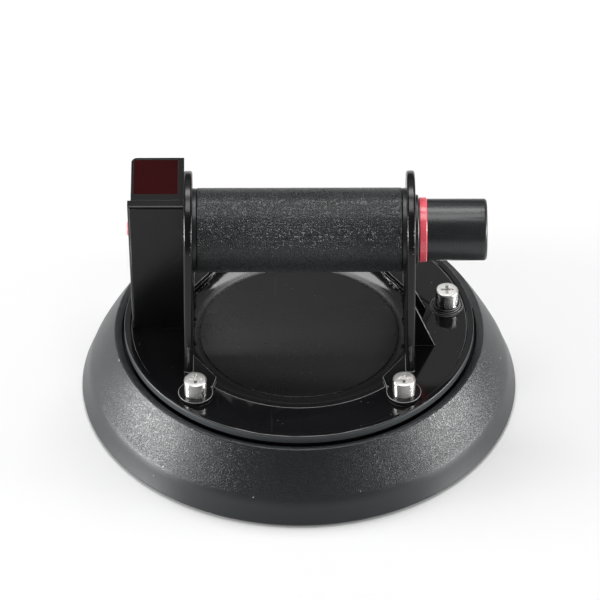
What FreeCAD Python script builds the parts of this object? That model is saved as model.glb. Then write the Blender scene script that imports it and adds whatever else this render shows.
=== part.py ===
import FreeCAD, Part
import math
import os

# Hand-pumped suction lifter: a round rubber cup under a stiff plate, a bridge handle that is also
# the pump, and a small instrument pod beside the left upright.
# Millimetres. +Z is up, +X points out along the pump plunger, -Y faces the user.
# The origin is the centre of the cup's lip, on the surface that the lifter stands on.

# ---- driving dimensions -------------------------------------------------------------------------

# Rubber cup
lip_radius = 101.8
lip_edge_round = 0.6
lip_flat_width = 6.5
lip_height = 11.3
lip_lean = 3.4
dome_shoulder_width = 4.8
dome_bulge = 0.3
cup_top_z = 34.0
shoulder_round = 1.6
groove_width = 0.6
web_thickness = 5.0
web_hole_radius = 40.0
wall_thickness = 8.6
cavity_shoulder_round = 3.0

# Base plate
rim_radius = 81.6
rim_top_z = 37.6
rim_side_height = 3.8
rim_width = 3.3
rim_rise = 1.0
rim_round = 0.7
deck_thickness = 8.1
hub_inset = 1.1
well_radius = 59.8
well_depth = 5.0
well_floor_radius = 47.2
well_wall_sag = 0.8
well_groove_width = 0.8
well_groove_depth = 0.3

# The stepped boss in the deck, under the side bolt
boss_radius = 7.6
boss_step_height = 1.0
boss_seat_radius = 6.3

# Clamp plate and the fasteners through the stack
clamp_inset = 4.6
clamp_thickness = 3.0
bolt_shank_radius = 3.0
bolt_hole_radius = 3.2
bolt_head_radius = 5.3
bolt_head_height = 7.9
bolt_head_round = 0.8
cross_length = 6.0
cross_width = 1.3
cross_depth = 1.8
washer_radius = 6.2
washer_thickness = 1.2
nut_flats = 10.0
nut_height = 4.6
bolt_end_spare = 1.0

# Where the bolts stand
corner_bolt_inset = 11.4
corner_bolt_offset = 1.2
side_bolt_inset = 12.4
side_bolt_y = 12.6
pod_bolt_offset = 14.3
pod_bolt_y = 18.0

# Uprights
upright_inset = 32.4
upright_thickness = 4.0
axis_height = 93.4
head_radius = 27.4
foot_half_length = 37.5
foot_wall_height = 7.0
upright_edge_round = 1.2
foot_thickness = 2.4
corner_lobe_radius = 8.0
web_start_y = 24.7
web_corner_inset = 10.8
web_corner_drop = 10.6
front_gusset_y = -14.8
front_gusset_reach = 10.0
front_gusset_rise = 24.5
rear_gusset_y = 11.1
rear_gusset_reach = 6.5
rear_gusset_rise = 14.1
gusset_thickness = 2.0

# Pump barrel and grip
barrel_radius = 18.0
barrel_bore_radius = 16.0
bush_length = 8.0
bush_radius = 17.0
bush_neck_radius = 16.6
bush_nose_radius = 16.2
bush_nose_length = 1.7
bush_nose_chamfer = 0.4
grip_radius = 19.5
end_ring_width = 2.0
end_ring_radius = 19.3
end_ring_round = 0.5
bead_width = 1.8
bead_rise = 0.4
bead_inset = 0.5

# Pump plunger
plunger_radius = 14.3
stroke = 26.0
stop_gap = 0.3
ring_gap = 0.4
ring_width = 3.4
ring_radius = 15.0
ring_groove_radius = 13.7
ring_round = 0.3
running_gap = 0.1
plunger_reach = 31.6
cap_thickness = 2.8
cap_round = 1.5
cap_plug_length = 4.0
hollow_radius = 12.0
spring_pocket_radius = 11.8
pocket_to_end = 56.5
divider_thickness = 3.0
clip_width = 1.5
clip_groove_radius = 13.5
piston_length = 8.0
piston_end_gap = 1.0
piston_spigot_radius = 13.4
piston_groove_width = 2.8
piston_groove_radius = 14.2
seal_gap = 0.05
spring_coil_radius = 10.6
spring_wire_radius = 0.7
spring_turns = 11

# Cylinder head and its valves
head_length = 6.2
head_groove_offset = 2.4
head_groove_width = 2.0
head_groove_radius = 14.5
inlet_y = 6.5
exhaust_y = -7.0
valve_disc_radius = 3.2
valve_disc_thickness = 0.8
valve_stem_radius = 1.0
valve_stem_length = 3.0
flow_hole_radius = 0.5
flow_hole_circle = 1.9
flow_hole_count = 4
exhaust_pocket_radius = 4.0
exhaust_pocket_depth = 1.6
vent_radius = 2.0
head_screw_circle = 11.5
head_screw_count = 3
head_screw_start_deg = 90.0
head_screw_radius = 2.0
head_screw_head_radius = 3.2
head_screw_head_height = 1.8
head_screw_length = 7.5

# Instrument pod
pod_rim_clear = 0.6
pod_lean_out = 1.6
pod_front_y = -3.0
pod_split_y = 2.5
pod_back_y = 34.3
pod_above_axis = 15.8
pod_inset = 1.5
pod_wall = 2.2
pod_rim_gap = 0.3
pod_front_round = 1.4
pod_back_round = 3.0
pod_top_round = 0.9
bezel_left = 1.3
bezel_right = 2.8
bezel_back = 2.0
window_front_y = 7.0
window_thickness = 1.2
window_sink = 0.2
window_ledge = 1.0
display_gap = 0.5
display_height = 5.4
board_back_gap = 2.5
board_thickness = 1.6
board_foot_rise = 8.4
board_width = 11.5
board_side_gap = 0.5
board_post_radius = 1.6
board_post_inset = 3.0
holder_size = 17.0
holder_thickness = 4.5
holder_foot_rise = 19.4
cell_radius = 8.0
cell_thickness = 3.2
cell_clearance = 0.1
pod_screw_inset = 6.3
pod_screw_foot_rise = 13.9
pod_screw_top_drop = 12.2
pod_screw_radius = 1.2
pod_screw_head_radius = 2.3
pod_screw_head_height = 1.6
pod_post_radius = 2.6
pod_post_meet_y = 22.0
pod_screw_length = 16.7

# Air line, release valve and sensor in the pod
line_offset = 7.8
line_bore_radius = 1.4
cross_bore_radius = 1.2
spigot_radius = 2.6
barb_radius = 2.4
barb_length = 10.0
hose_radius = 3.9
hose_end_gap = 0.3
port_shank_radius = 2.5
port_hex_flats = 8.0
port_hex_height = 5.0
port_nut_height = 4.0
port_end_spare = 1.0
filter_radius = 4.0
filter_thickness = 2.0
block_reach = 12.8
block_front_y = 3.0
block_back_y = 22.0
block_below_axis = 17.4
block_above_axis = 4.6
button_y = 15.0
button_below_axis = 11.1
button_radius = 3.4
button_proud = 1.2
button_edge_round = 0.6
button_side_gap = 0.2
button_flange_radius = 4.6
button_flange_thickness = 1.3
button_travel = 2.0
poppet_stem_radius = 1.2
poppet_hole_radius = 1.7
poppet_wall = 2.0
poppet_chamber_radius = 3.2
poppet_chamber_length = 6.5
poppet_seal_radius = 2.6
poppet_seal_thickness = 1.2
poppet_seal_gap = 0.1
poppet_head_radius = 2.0
poppet_head_thickness = 0.8
button_spring_radius = 3.2
button_spring_wire = 0.35
button_spring_turns = 5
sensor_size = 8.0
sensor_below_axis = 9.4

# How finely a spring's wire is faceted
coil_steps = 14
wire_sides = 6

# General clearance of a hole round a pin that doesn't move
hole_clearance = 0.2

# ---- derived places -----------------------------------------------------------------------------

deck_z = rim_top_z - rim_rise
foot_top_z = deck_z + foot_thickness
web_top_z = deck_z - deck_thickness
web_bottom_z = web_top_z - web_thickness
clamp_bottom_z = web_bottom_z - clamp_thickness
washer_bottom_z = clamp_bottom_z - washer_thickness
nut_bottom_z = washer_bottom_z - nut_height
bolt_end_z = nut_bottom_z - bolt_end_spare
rim_bottom_z = rim_top_z - rim_side_height
upright_inner = rim_radius - upright_inset
upright_outer = upright_inner + upright_thickness
head_inner_x = -upright_inner + head_length
bush_inner_x = upright_inner - bush_length
nose_x = upright_outer + bush_nose_length
plunger_end_x = nose_x + plunger_reach
cap_x = plunger_end_x - cap_thickness
pocket_end_x = plunger_end_x - pocket_to_end
piston_left_x = head_inner_x + piston_end_gap + stroke
piston_right_x = piston_left_x + piston_length
corner_bolt_x = upright_inner - corner_bolt_offset
corner_bolt_y = math.sqrt((rim_radius - corner_bolt_inset) ** 2 - corner_bolt_x**2)
side_bolt_x = rim_radius - side_bolt_inset
web_corner_x = upright_inner - web_corner_inset
web_corner_y = corner_bolt_y - web_corner_drop
pod_left_bottom = rim_radius - rim_width - pod_rim_clear
pod_left_top = pod_left_bottom + pod_lean_out
pod_top_z = axis_height + pod_above_axis
pod_screw_heights = (deck_z + pod_screw_foot_rise, pod_top_z - pod_screw_top_drop)
pod_floor_top_z = foot_top_z
pod_ceiling_z = pod_top_z - pod_wall
pod_inner_right = upright_outer + pod_wall
pod_inner_back_y = pod_back_y - pod_wall
pod_lean = (pod_left_top - pod_left_bottom) / (pod_top_z - deck_z)
board_bottom_z = deck_z + board_foot_rise
holder_bottom_z = deck_z + holder_foot_rise
line_x = upright_outer + line_offset
block_left = upright_outer + block_reach
block_bottom_z = axis_height - block_below_axis
block_top_z = axis_height + block_above_axis
button_z = axis_height - button_below_axis
sensor_bottom_z = axis_height - sensor_below_axis
pod_bolt_x = -(upright_outer + pod_bolt_offset)
dome_shoulder_radius = rim_radius + dome_shoulder_width
clamp_radius = rim_radius - clamp_inset
piston_radius = barrel_bore_radius - running_gap
clip_radius = barrel_bore_radius - stop_gap
bush_bore_radius = ring_radius + running_gap

# ---- helpers ------------------------------------------------------------------------------------

os.makedirs("parts", exist_ok=True)


def point(x, y, z):
    return FreeCAD.Vector(x, y, z)


def save(name, shape):
    shape.exportStep("parts/" + name + ".step")


def rod_x(x0, x1, radius, y=0.0, z=axis_height):
    """A round rod along X, by default on the handle's axis."""
    return Part.makeCylinder(radius, x1 - x0, point(x0, y, z), point(1, 0, 0))


def tube_x(x0, x1, outer, inner, y=0.0, z=axis_height):
    return rod_x(x0, x1, outer, y, z).cut(rod_x(x0, x1, inner, y, z))


def rod_y(y0, y1, radius, x, z):
    return Part.makeCylinder(radius, y1 - y0, point(x, y0, z), point(0, 1, 0))


def rod_z(z0, z1, radius, x, y):
    return Part.makeCylinder(radius, z1 - z0, point(x, y, z0), point(0, 0, 1))


def block(x0, x1, y0, y1, z0, z1):
    return Part.makeBox(x1 - x0, y1 - y0, z1 - z0, point(x0, y0, z0))


def prism(corners, direction):
    """A solid with the given corners as its base face, extruded along direction."""
    face = Part.Face(Part.makePolygon(corners + [corners[0]]))
    return face.extrude(direction)


def hexagon(z0, z1, flats, x, y):
    corners = []
    for k in range(6):
        angle = math.radians(60 * k + 30)
        reach = flats / 2 / math.cos(math.radians(30))
        corners.append(point(x + reach * math.cos(angle), y + reach * math.sin(angle), z0))
    return prism(corners, point(0, 0, z1 - z0))


def turn_z(edges):
    """A solid of revolution about Z from profile edges that lie in the XZ plane."""
    face = Part.Face(Part.Wire(edges))
    return face.revolve(point(0, 0, 0), point(0, 0, 1), 360)


def line(a, b):
    return Part.LineSegment(point(a[0], 0, a[1]), point(b[0], 0, b[1])).toShape()


def arc(a, b, c):
    return Part.Arc(point(a[0], 0, a[1]), point(b[0], 0, b[1]), point(c[0], 0, c[1])).toShape()


def lines(points):
    return [line(a, b) for a, b in zip(points, points[1:])]


def round_edges(shape, radius, wanted):
    """Round the edges for which wanted(edge's centre, edge) is true."""
    chosen = [edge for edge in shape.Edges if wanted(edge.BoundBox.Center, edge)]
    return shape.makeFillet(radius, chosen)


def coil_x(x0, x1, coil_radius, wire_radius, turns, y, z):
    """A compression spring along X between x0 and x1, with a closed turn at each end.

    The wire has flat sides and the turns have straight runs, which keeps the solid light.
    """
    run = x1 - x0 - 2 * wire_radius
    end_rise = 2.1 * wire_radius
    rise = (run - 2 * end_rise) / (turns - 2)
    corners = []
    for step in range(turns * coil_steps + 1):
        turned = step / coil_steps
        first = min(turned, 1)
        middle = min(max(turned - 1, 0), turns - 2)
        last = max(turned - turns + 1, 0)
        x = x0 + wire_radius + end_rise * (first + last) + rise * middle
        around = 2 * math.pi * turned
        for side in range(wire_sides):
            tilt = 2 * math.pi * (side / wire_sides + 0.25)
            reach = coil_radius + wire_radius * math.cos(tilt)
            corners.append(point(
                x + wire_radius * math.sin(tilt), y + reach * math.cos(around), z + reach * math.sin(around)))
    facets = []
    for step in range(turns * coil_steps):
        for side in range(wire_sides):
            a = step * wire_sides + side
            b = step * wire_sides + (side + 1) % wire_sides
            facets.append((a, b, b + wire_sides))
            facets.append((a, b + wire_sides, a + wire_sides))
    end = turns * coil_steps * wire_sides
    for side in range(1, wire_sides - 1):
        facets.append((0, side + 1, side))
        facets.append((end, end + side, end + side + 1))
    skin = Part.Shape()
    skin.makeShapeFromMesh((corners, facets), 0.01)
    spring = Part.makeSolid(skin)
    if spring.Volume < 0:
        spring.reverse()
    return spring


# ---- rubber cup ---------------------------------------------------------------------------------


def make_rubber_cup():
    lip_inner = lip_radius - lip_flat_width
    dome_start = (lip_radius - lip_lean, lip_height)
    shoulder_start = (dome_shoulder_radius, cup_top_z - shoulder_round / 2)
    dome_middle = (
        (dome_start[0] + shoulder_start[0]) / 2 + dome_bulge,
        (dome_start[1] + shoulder_start[1]) / 2 + dome_bulge / 2,
    )
    groove_radius = rim_radius + groove_width
    shoulder_end = (groove_radius + shoulder_round / 2, cup_top_z - shoulder_round / 4)
    shoulder_top = ((shoulder_start[0] + shoulder_end[0]) / 2, cup_top_z)
    cavity_top = (dome_shoulder_radius - wall_thickness + cavity_shoulder_round, web_bottom_z)
    cavity_side = (cavity_top[0] + cavity_shoulder_round, web_bottom_z - cavity_shoulder_round)
    cavity_knee = (
        cavity_top[0] + cavity_shoulder_round * math.sin(math.radians(45)),
        web_bottom_z - cavity_shoulder_round * (1 - math.cos(math.radians(45))),
    )
    edges = lines([
        (lip_inner, 0),
        (lip_radius - lip_edge_round, 0),
        (lip_radius, lip_edge_round),
        dome_start,
    ])
    edges.append(arc(dome_start, dome_middle, shoulder_start))
    edges.append(arc(shoulder_start, shoulder_top, shoulder_end))
    edges += lines([
        shoulder_end,
        (groove_radius, cup_top_z - shoulder_round),
        (groove_radius, web_top_z),
        (web_hole_radius, web_top_z),
        (web_hole_radius, web_bottom_z),
        cavity_top,
    ])
    edges.append(arc(cavity_top, cavity_knee, cavity_side))
    edges.append(line(cavity_side, (lip_inner, 0)))
    cup = turn_z(edges)
    for x, y in bolt_places():
        cup = cup.cut(rod_z(web_bottom_z, web_top_z, bolt_hole_radius, x, y))
    return cup.cut(rod_z(web_bottom_z, web_top_z, port_hole_radius(), -line_x, inlet_y))


def bolt_places():
    places = [(sx * corner_bolt_x, sy * corner_bolt_y) for sx in (-1, 1) for sy in (-1, 1)]
    return places + [(pod_bolt_x, pod_bolt_y), (side_bolt_x, side_bolt_y)]


def port_hole_radius():
    return port_shank_radius + hole_clearance


# ---- base plate and clamp plate -----------------------------------------------------------------


def make_well():
    """The shallow round dish in the deck, straight-sided where the uprights and bolts stand."""
    floor_z = deck_z - well_depth
    inner = well_floor_radius
    middle = (
        (inner + well_radius) / 2,
        (floor_z + deck_z) / 2 - well_wall_sag,
    )
    edges = lines([(0, deck_z), (0, floor_z), (inner - well_groove_width, floor_z)])
    edges += lines([
        (inner - well_groove_width, floor_z),
        (inner - well_groove_width / 2, floor_z - well_groove_depth),
        (inner, floor_z),
    ])
    edges.append(arc((inner, floor_z), middle, (well_radius, deck_z)))
    edges.append(line((well_radius, deck_z), (0, deck_z)))
    well = turn_z(edges)
    reach = 2 * well_radius
    well = well.common(block(-upright_inner, upright_inner, -reach, reach, 0, rim_top_z))
    for sx in (-1, 1):
        for sy in (-1, 1):
            well = well.cut(corner_web(sx, sy, 0, rim_top_z))
    return well


def corner_web(sx, sy, z0, z1):
    """The flat web between an upright and the lobe of its corner bolt."""
    corners = [
        (upright_outer, web_start_y),
        (upright_inner, web_start_y),
        (web_corner_x, web_corner_y),
        (corner_bolt_x - corner_lobe_radius, corner_bolt_y - corner_lobe_radius / 2),
        (corner_bolt_x, corner_bolt_y),
        (upright_outer, corner_bolt_y),
    ]
    return prism([point(sx * x, sy * y, z0) for x, y in corners], point(0, 0, z1 - z0))


def make_base_plate():
    hub_radius = rim_radius - hub_inset
    rim_inner = rim_radius - rim_width
    edges = lines([
        (0, deck_z),
        (0, web_bottom_z),
        (web_hole_radius - hole_clearance, web_bottom_z),
        (web_hole_radius - hole_clearance, web_top_z),
        (hub_radius, web_top_z),
        (hub_radius, rim_bottom_z),
        (rim_radius, rim_bottom_z),
        (rim_radius, rim_top_z - rim_round),
    ])
    half = rim_round * (1 - math.sin(math.radians(45)))
    edges.append(arc(
        (rim_radius, rim_top_z - rim_round),
        (rim_radius - half, rim_top_z - half),
        (rim_radius - rim_round, rim_top_z),
    ))
    edges.append(line((rim_radius - rim_round, rim_top_z), (rim_inner + rim_round, rim_top_z)))
    edges.append(arc(
        (rim_inner + rim_round, rim_top_z),
        (rim_inner + half, rim_top_z - half),
        (rim_inner, rim_top_z - rim_round),
    ))
    edges += lines([(rim_inner, rim_top_z - rim_round), (rim_inner, deck_z), (0, deck_z)])
    plate = turn_z(edges).cut(make_well())
    step_z = deck_z + boss_step_height
    plate = plate.fuse(rod_z(web_top_z, step_z, boss_radius, side_bolt_x, side_bolt_y))
    plate = plate.fuse(rod_z(web_top_z, foot_top_z, boss_seat_radius, side_bolt_x, side_bolt_y))
    for x, y in bolt_places():
        plate = plate.cut(rod_z(web_bottom_z, foot_top_z, bolt_hole_radius, x, y))
    return plate.cut(rod_z(web_bottom_z, rim_top_z, port_hole_radius(), -line_x, inlet_y))


def make_clamp_plate():
    plate = rod_z(clamp_bottom_z, web_bottom_z, clamp_radius, 0, 0)
    for x, y in bolt_places():
        plate = plate.cut(rod_z(clamp_bottom_z, web_bottom_z, bolt_hole_radius, x, y))
    return plate.cut(rod_z(clamp_bottom_z, web_bottom_z, port_hole_radius(), -line_x, inlet_y))


# ---- fasteners through the stack ----------------------------------------------------------------


def make_foot_bolt(x, y):
    top_z = foot_top_z + bolt_head_height
    head = rod_z(foot_top_z, top_z, bolt_head_radius, x, y)
    head = round_edges(head, bolt_head_round, lambda c, e: c.z > top_z - 0.01 and len(e.Vertexes) == 1)
    half = cross_length / 2
    for a, b in ((half, cross_width / 2), (cross_width / 2, half)):
        head = head.cut(block(x - a, x + a, y - b, y + b, top_z - cross_depth, top_z + 1))
    return head.fuse(rod_z(bolt_end_z, foot_top_z, bolt_shank_radius, x, y)).removeSplitter()


def make_foot_bolts():
    return Part.makeCompound([make_foot_bolt(x, y) for x, y in bolt_places()])


def make_clamp_washers():
    washers = []
    for x, y in bolt_places():
        washer = rod_z(washer_bottom_z, clamp_bottom_z, washer_radius, x, y)
        washers.append(washer.cut(rod_z(washer_bottom_z, clamp_bottom_z, bolt_hole_radius, x, y)))
    return Part.makeCompound(washers)


def make_clamp_nuts():
    nuts = []
    for x, y in bolt_places():
        nut = hexagon(nut_bottom_z, washer_bottom_z, nut_flats, x, y)
        nuts.append(nut.cut(rod_z(nut_bottom_z, washer_bottom_z, bolt_shank_radius, x, y)))
    return Part.makeCompound(nuts)


# ---- uprights -----------------------------------------------------------------------------------


def tangent_point(foot_y, foot_z):
    """Where a straight edge from the foot touches the head's round."""
    away = math.hypot(foot_y, foot_z - axis_height)
    to_foot = math.atan2(foot_z - axis_height, foot_y)
    swing = math.acos(head_radius / away)
    angle = to_foot + swing if foot_y > 0 else to_foot - swing
    return head_radius * math.cos(angle), axis_height + head_radius * math.sin(angle)


def upright_plate(side):
    """One side plate: an upright with a round head, straight flanks and rounded edges."""
    x0 = side * upright_inner if side > 0 else -upright_outer
    wall_z = deck_z + foot_wall_height
    right = tangent_point(foot_half_length, wall_z)
    left = tangent_point(-foot_half_length, wall_z)

    def at(y, z):
        return point(x0, y, z)

    outline = [
        Part.LineSegment(at(-foot_half_length, deck_z), at(foot_half_length, deck_z)),
        Part.LineSegment(at(foot_half_length, deck_z), at(foot_half_length, wall_z)),
        Part.LineSegment(at(foot_half_length, wall_z), at(*right)),
        Part.Arc(at(*right), at(0, axis_height + head_radius), at(*left)),
        Part.LineSegment(at(*left), at(-foot_half_length, wall_z)),
        Part.LineSegment(at(-foot_half_length, wall_z), at(-foot_half_length, deck_z)),
    ]
    face = Part.Face(Part.Wire([curve.toShape() for curve in outline]))
    plate = face.extrude(point(upright_thickness, 0, 0))

    def rim_edge(centre, edge):
        on_face = edge.BoundBox.XLength < 0.01
        return on_face and edge.BoundBox.ZLength > 0.01

    return round_edges(plate, upright_edge_round, rim_edge)


def upright_foot(side):
    """The thin flange with a lobe and a web for each corner bolt."""
    foot = None
    for sy in (-1, 1):
        x = side * corner_bolt_x
        y = sy * corner_bolt_y
        lobe = rod_z(deck_z, foot_top_z, corner_lobe_radius, x, y)
        web = corner_web(side, sy, deck_z, foot_top_z)
        piece = lobe.fuse(web)
        foot = piece if foot is None else foot.fuse(piece)
    return foot


def drill_foot(shape, side):
    for sy in (-1, 1):
        x = side * corner_bolt_x
        y = sy * corner_bolt_y
        head_room = rod_z(foot_top_z, axis_height, bolt_head_radius + hole_clearance, x, y)
        shape = shape.cut(head_room)
        shape = shape.cut(rod_z(deck_z, foot_top_z, bolt_hole_radius, x, y))
    return shape


def head_screw_places():
    places = []
    for k in range(head_screw_count):
        angle = math.radians(head_screw_start_deg + 360 * k / head_screw_count)
        places.append((
            head_screw_circle * math.cos(angle),
            axis_height + head_screw_circle * math.sin(angle),
        ))
    return places


def make_left_upright():
    upright = upright_plate(-1).fuse(upright_foot(-1)).removeSplitter()
    upright = drill_foot(upright, -1)
    upright = upright.cut(
        rod_x(-upright_outer, -upright_inner, spigot_radius + hole_clearance, inlet_y))
    upright = upright.cut(rod_x(-upright_outer, -upright_inner, vent_radius, exhaust_y))
    for y, z in head_screw_places():
        upright = upright.cut(head_screw(y, z, hole_clearance))
    return upright


def head_screw(y, z, clearance):
    """A countersunk screw from the upright's outer face into the cylinder head."""
    x0 = -upright_outer
    shank = head_screw_radius + clearance
    head = Part.makeCone(
        head_screw_head_radius + clearance, shank, head_screw_head_height, point(x0, y, z), point(1, 0, 0))
    return head.fuse(rod_x(x0 + head_screw_head_height, x0 + head_screw_length, shank, y, z))


def make_head_screws():
    slot = cross_width / 2
    screws = []
    for y, z in head_screw_places():
        screw = head_screw(y, z, 0).removeSplitter()
        x0 = -upright_outer
        for a, b in ((head_screw_radius, slot), (slot, head_screw_radius)):
            screw = screw.cut(block(x0 - 1, x0 + 1, y - a, y + a, z - b, z + b))
        screws.append(screw)
    return Part.makeCompound(screws)


def gusset(y, reach, rise):
    """A thin triangular rib between the right upright and the deck."""
    y0 = y - gusset_thickness / 2
    corners = [
        point(upright_outer, y0, deck_z),
        point(upright_outer + reach, y0, deck_z),
        point(upright_outer, y0, deck_z + rise),
    ]
    return prism(corners, point(0, gusset_thickness, 0))


def make_right_upright():
    upright = upright_plate(1).fuse(upright_foot(1))
    upright = upright.fuse(gusset(front_gusset_y, front_gusset_reach, front_gusset_rise))
    upright = upright.fuse(gusset(rear_gusset_y, rear_gusset_reach, rear_gusset_rise))
    upright = drill_foot(upright.removeSplitter(), 1)
    return upright.cut(rod_x(upright_inner, upright_outer, bush_neck_radius))


# ---- pump barrel, bush and grip -----------------------------------------------------------------


def make_pump_cylinder():
    barrel = tube_x(-upright_inner, upright_inner, barrel_radius, barrel_bore_radius)
    return barrel.cut(rod_x(bush_inner_x, upright_inner, bush_radius))


def make_guide_bush():
    nose = rod_x(upright_outer, nose_x, bush_nose_radius)
    nose = nose.makeChamfer(bush_nose_chamfer, [e for e in nose.Edges if e.BoundBox.XMin > nose_x - 0.01])
    bush = rod_x(bush_inner_x, upright_inner, bush_radius)
    bush = bush.fuse(rod_x(upright_inner, upright_outer, bush_neck_radius)).fuse(nose)
    return bush.cut(rod_x(bush_inner_x, nose_x, bush_bore_radius)).removeSplitter()


def make_end_ring(side):
    inner_x = upright_inner - end_ring_width
    x0 = inner_x if side > 0 else -upright_inner
    ring = rod_x(x0, x0 + end_ring_width, end_ring_radius)
    grip_side = side * inner_x
    ring = round_edges(
        ring, end_ring_round, lambda c, e: abs(c.x - grip_side) < 0.01 and e.BoundBox.XLength < 0.01)
    return ring.cut(rod_x(x0, x0 + end_ring_width, barrel_radius))


def make_grip_sleeve():
    end_x = upright_inner - end_ring_width
    sleeve = tube_x(-end_x, end_x, grip_radius, barrel_radius)
    bead_x = end_x - bead_inset - bead_width
    bead = tube_x(bead_x, bead_x + bead_width, grip_radius + bead_rise, barrel_radius)
    return sleeve.fuse(bead).removeSplitter()


# ---- cylinder head and valves -------------------------------------------------------------------


def flow_holes(x0, x1, y):
    holes = []
    for k in range(flow_hole_count):
        angle = math.radians(45 + 360 * k / flow_hole_count)
        hole_y = y + flow_hole_circle * math.cos(angle)
        hole_z = axis_height + flow_hole_circle * math.sin(angle)
        holes.append(rod_x(x0, x1, flow_hole_radius, hole_y, hole_z))
    return holes


def spigot_end_x():
    return head_inner_x - valve_stem_length - hole_clearance


def make_cylinder_head():
    x0 = -upright_inner
    head = rod_x(x0, head_inner_x, barrel_bore_radius)
    groove_x = head_inner_x - head_groove_offset - head_groove_width
    head = head.cut(tube_x(groove_x, groove_x + head_groove_width, barrel_bore_radius, head_groove_radius))
    head = head.cut(rod_x(x0, spigot_end_x(), spigot_radius, inlet_y))
    head = head.cut(rod_x(spigot_end_x(), head_inner_x, valve_stem_radius, inlet_y))
    pocket_x = x0 + exhaust_pocket_depth
    head = head.cut(rod_x(x0, pocket_x, exhaust_pocket_radius, exhaust_y))
    head = head.cut(rod_x(pocket_x, pocket_x + valve_stem_length, valve_stem_radius, exhaust_y))
    for hole in flow_holes(spigot_end_x(), head_inner_x, inlet_y):
        head = head.cut(hole)
    for hole in flow_holes(pocket_x, head_inner_x, exhaust_y):
        head = head.cut(hole)
    for y, z in head_screw_places():
        head = head.cut(rod_x(x0, head_screw_length - upright_outer, head_screw_radius, y, z))
    return head


def make_head_seal():
    groove_x = head_inner_x - head_groove_offset - head_groove_width
    return tube_x(groove_x, groove_x + head_groove_width, barrel_bore_radius, head_groove_radius)


def make_inlet_valve():
    disc = rod_x(head_inner_x, head_inner_x + valve_disc_thickness, valve_disc_radius, inlet_y)
    stem = rod_x(head_inner_x - valve_stem_length, head_inner_x, valve_stem_radius, inlet_y)
    return disc.fuse(stem).removeSplitter()


def make_exhaust_valve():
    seat_x = exhaust_pocket_depth - upright_inner
    disc = rod_x(seat_x - valve_disc_thickness, seat_x, valve_disc_radius, exhaust_y)
    stem = rod_x(seat_x, seat_x + valve_stem_length, valve_stem_radius, exhaust_y)
    return disc.fuse(stem).removeSplitter()


# ---- plunger ------------------------------------------------------------------------------------


def ring_x():
    return nose_x + ring_gap


def clip_x():
    return bush_inner_x - stop_gap - clip_width


def make_plunger_body():
    body = rod_x(piston_right_x, cap_x, plunger_radius)
    body = body.fuse(rod_x(piston_left_x, piston_right_x, piston_spigot_radius)).removeSplitter()
    body = body.cut(tube_x(ring_x(), ring_x() + ring_width, plunger_radius, ring_groove_radius))
    body = body.cut(tube_x(clip_x(), clip_x() + clip_width, plunger_radius, clip_groove_radius))
    body = body.cut(rod_x(piston_left_x, pocket_end_x, spring_pocket_radius))
    return body.cut(rod_x(pocket_end_x + divider_thickness, cap_x, hollow_radius))


def make_plunger_cap():
    cap = rod_x(cap_x, plunger_end_x, plunger_radius)
    cap = round_edges(cap, cap_round, lambda c, e: c.x > plunger_end_x - 0.01 and e.BoundBox.XLength < 0.01)
    return cap.fuse(rod_x(cap_x - cap_plug_length, cap_x, hollow_radius)).removeSplitter()


def make_warning_ring():
    ring = rod_x(ring_x(), ring_x() + ring_width, ring_radius)
    ring = round_edges(ring, ring_round, lambda c, e: e.BoundBox.XLength < 0.01)
    return ring.cut(rod_x(ring_x(), ring_x() + ring_width, ring_groove_radius))


def make_retaining_clip():
    return tube_x(clip_x(), clip_x() + clip_width, clip_radius, clip_groove_radius)


def piston_groove_x():
    return (piston_left_x + piston_right_x - piston_groove_width) / 2


def make_piston():
    piston = tube_x(piston_left_x, piston_right_x, piston_radius, piston_spigot_radius)
    groove_x = piston_groove_x()
    return piston.cut(
        tube_x(groove_x, groove_x + piston_groove_width, piston_radius, piston_groove_radius))


def make_piston_seal():
    groove_x = piston_groove_x()
    outer = barrel_bore_radius - seal_gap
    return tube_x(groove_x, groove_x + piston_groove_width, outer, piston_groove_radius)


def make_plunger_spring():
    return coil_x(
        head_inner_x, pocket_end_x, spring_coil_radius, spring_wire_radius, spring_turns, 0, axis_height)


# ---- instrument pod -----------------------------------------------------------------------------


def pod_left_at(z):
    """The pod's left face, as a distance from the middle, before any inset."""
    return pod_left_bottom + pod_lean * (z - deck_z)


def pod_solid(y0, y1, z0, z1, right, inset):
    corners = [
        point(-right, y0, z0),
        point(inset - pod_left_at(z0), y0, z0),
        point(inset - pod_left_at(z1), y0, z1),
        point(-right, y0, z1),
    ]
    return prism(corners, point(0, y1 - y0, 0))


def pod_screw_places():
    return [(pod_screw_inset - pod_left_bottom, z) for z in pod_screw_heights]


def make_pod_front_cover():
    cover = pod_solid(pod_front_y, pod_split_y, deck_z, pod_top_z, upright_outer, 0)

    def front_corner(centre, edge):
        upright_edge = edge.BoundBox.ZLength > 1 and edge.BoundBox.YLength < 0.01
        top_edge = edge.BoundBox.YLength < 0.01 and centre.z > pod_top_z - 0.01
        left_of_face = centre.x < -pod_left_bottom + 1
        at_front = centre.y < pod_front_y + 0.01
        return at_front and (top_edge or (upright_edge and left_of_face))

    cover = round_edges(cover, pod_front_round, front_corner)
    room = pod_solid(
        pod_front_y + pod_wall, pod_split_y, pod_floor_top_z, pod_ceiling_z, pod_inner_right, pod_wall)
    cover = cover.cut(room)
    for x, z in pod_screw_places():
        cover = cover.fuse(rod_y(pod_front_y + pod_wall, pod_post_meet_y, pod_post_radius, x, z))
        screw_end = pod_back_y - pod_screw_head_height - pod_screw_length
        cover = cover.cut(rod_y(screw_end, pod_post_meet_y, pod_screw_radius, x, z))
    return cover.removeSplitter()


def window_sides():
    """The window's left and right edges and its back edge."""
    left = bezel_left + pod_inset - pod_left_top
    right = -(upright_outer + bezel_right)
    return left, right, pod_back_y - bezel_back


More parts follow.
